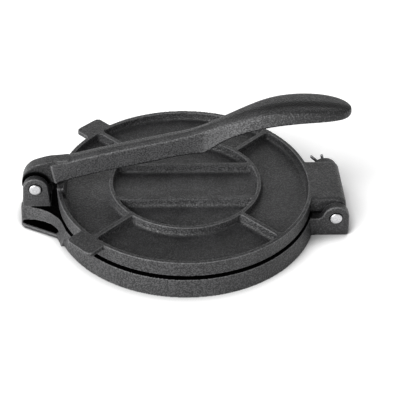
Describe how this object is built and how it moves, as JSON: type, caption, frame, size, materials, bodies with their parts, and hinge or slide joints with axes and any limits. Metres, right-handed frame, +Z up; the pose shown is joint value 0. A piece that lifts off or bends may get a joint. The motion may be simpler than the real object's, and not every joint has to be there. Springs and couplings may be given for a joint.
{
  "type": "tortilla press",
  "caption": "Cast-iron tortilla press: a hand lever bears on a hinged round plate and presses dough flat against a round base plate.",
  "frame": {"origin": "on the floor under the middle of the two round plates", "axes": "+X from the lever's pivot towards the plate hinge, +Y away from the side the pin heads are on, +Z up"},
  "size_m": [0.2449, 0.1982, 0.0972],
  "materials": {
    "cast_iron": "matte black, seasoned, with a fine sand-cast grain",
    "pin_steel": "bright zinc plate"
  },
  "bodies": {
    "base": {"base_plate": "cast_iron", "hinge_pin": "pin_steel", "lever_pin": "pin_steel", "hinge_split_pin": "pin_steel", "lever_split_pin": "pin_steel"},
    "upper_plate": {"top_plate": "cast_iron"},
    "lever": {"press_lever": "cast_iron"}
  },
  "joints": [
    {"name": "lever_swing", "type": "hinge", "parent": "base", "child": "lever", "pos_m": [-0.1113, 0, 0.0298], "axis": [0, -1, 0], "range_deg": [0, 165]},
    {"name": "plate_hinge", "type": "hinge", "parent": "base", "child": "upper_plate", "pos_m": [0.1113, 0, 0.016], "axis": [0, 1, 0], "range_deg": [0, 110]}
  ],
  "couplings": [
    {"joint": "plate_hinge", "follows": "lever_swing", "ratio": 0.09}
  ]
}
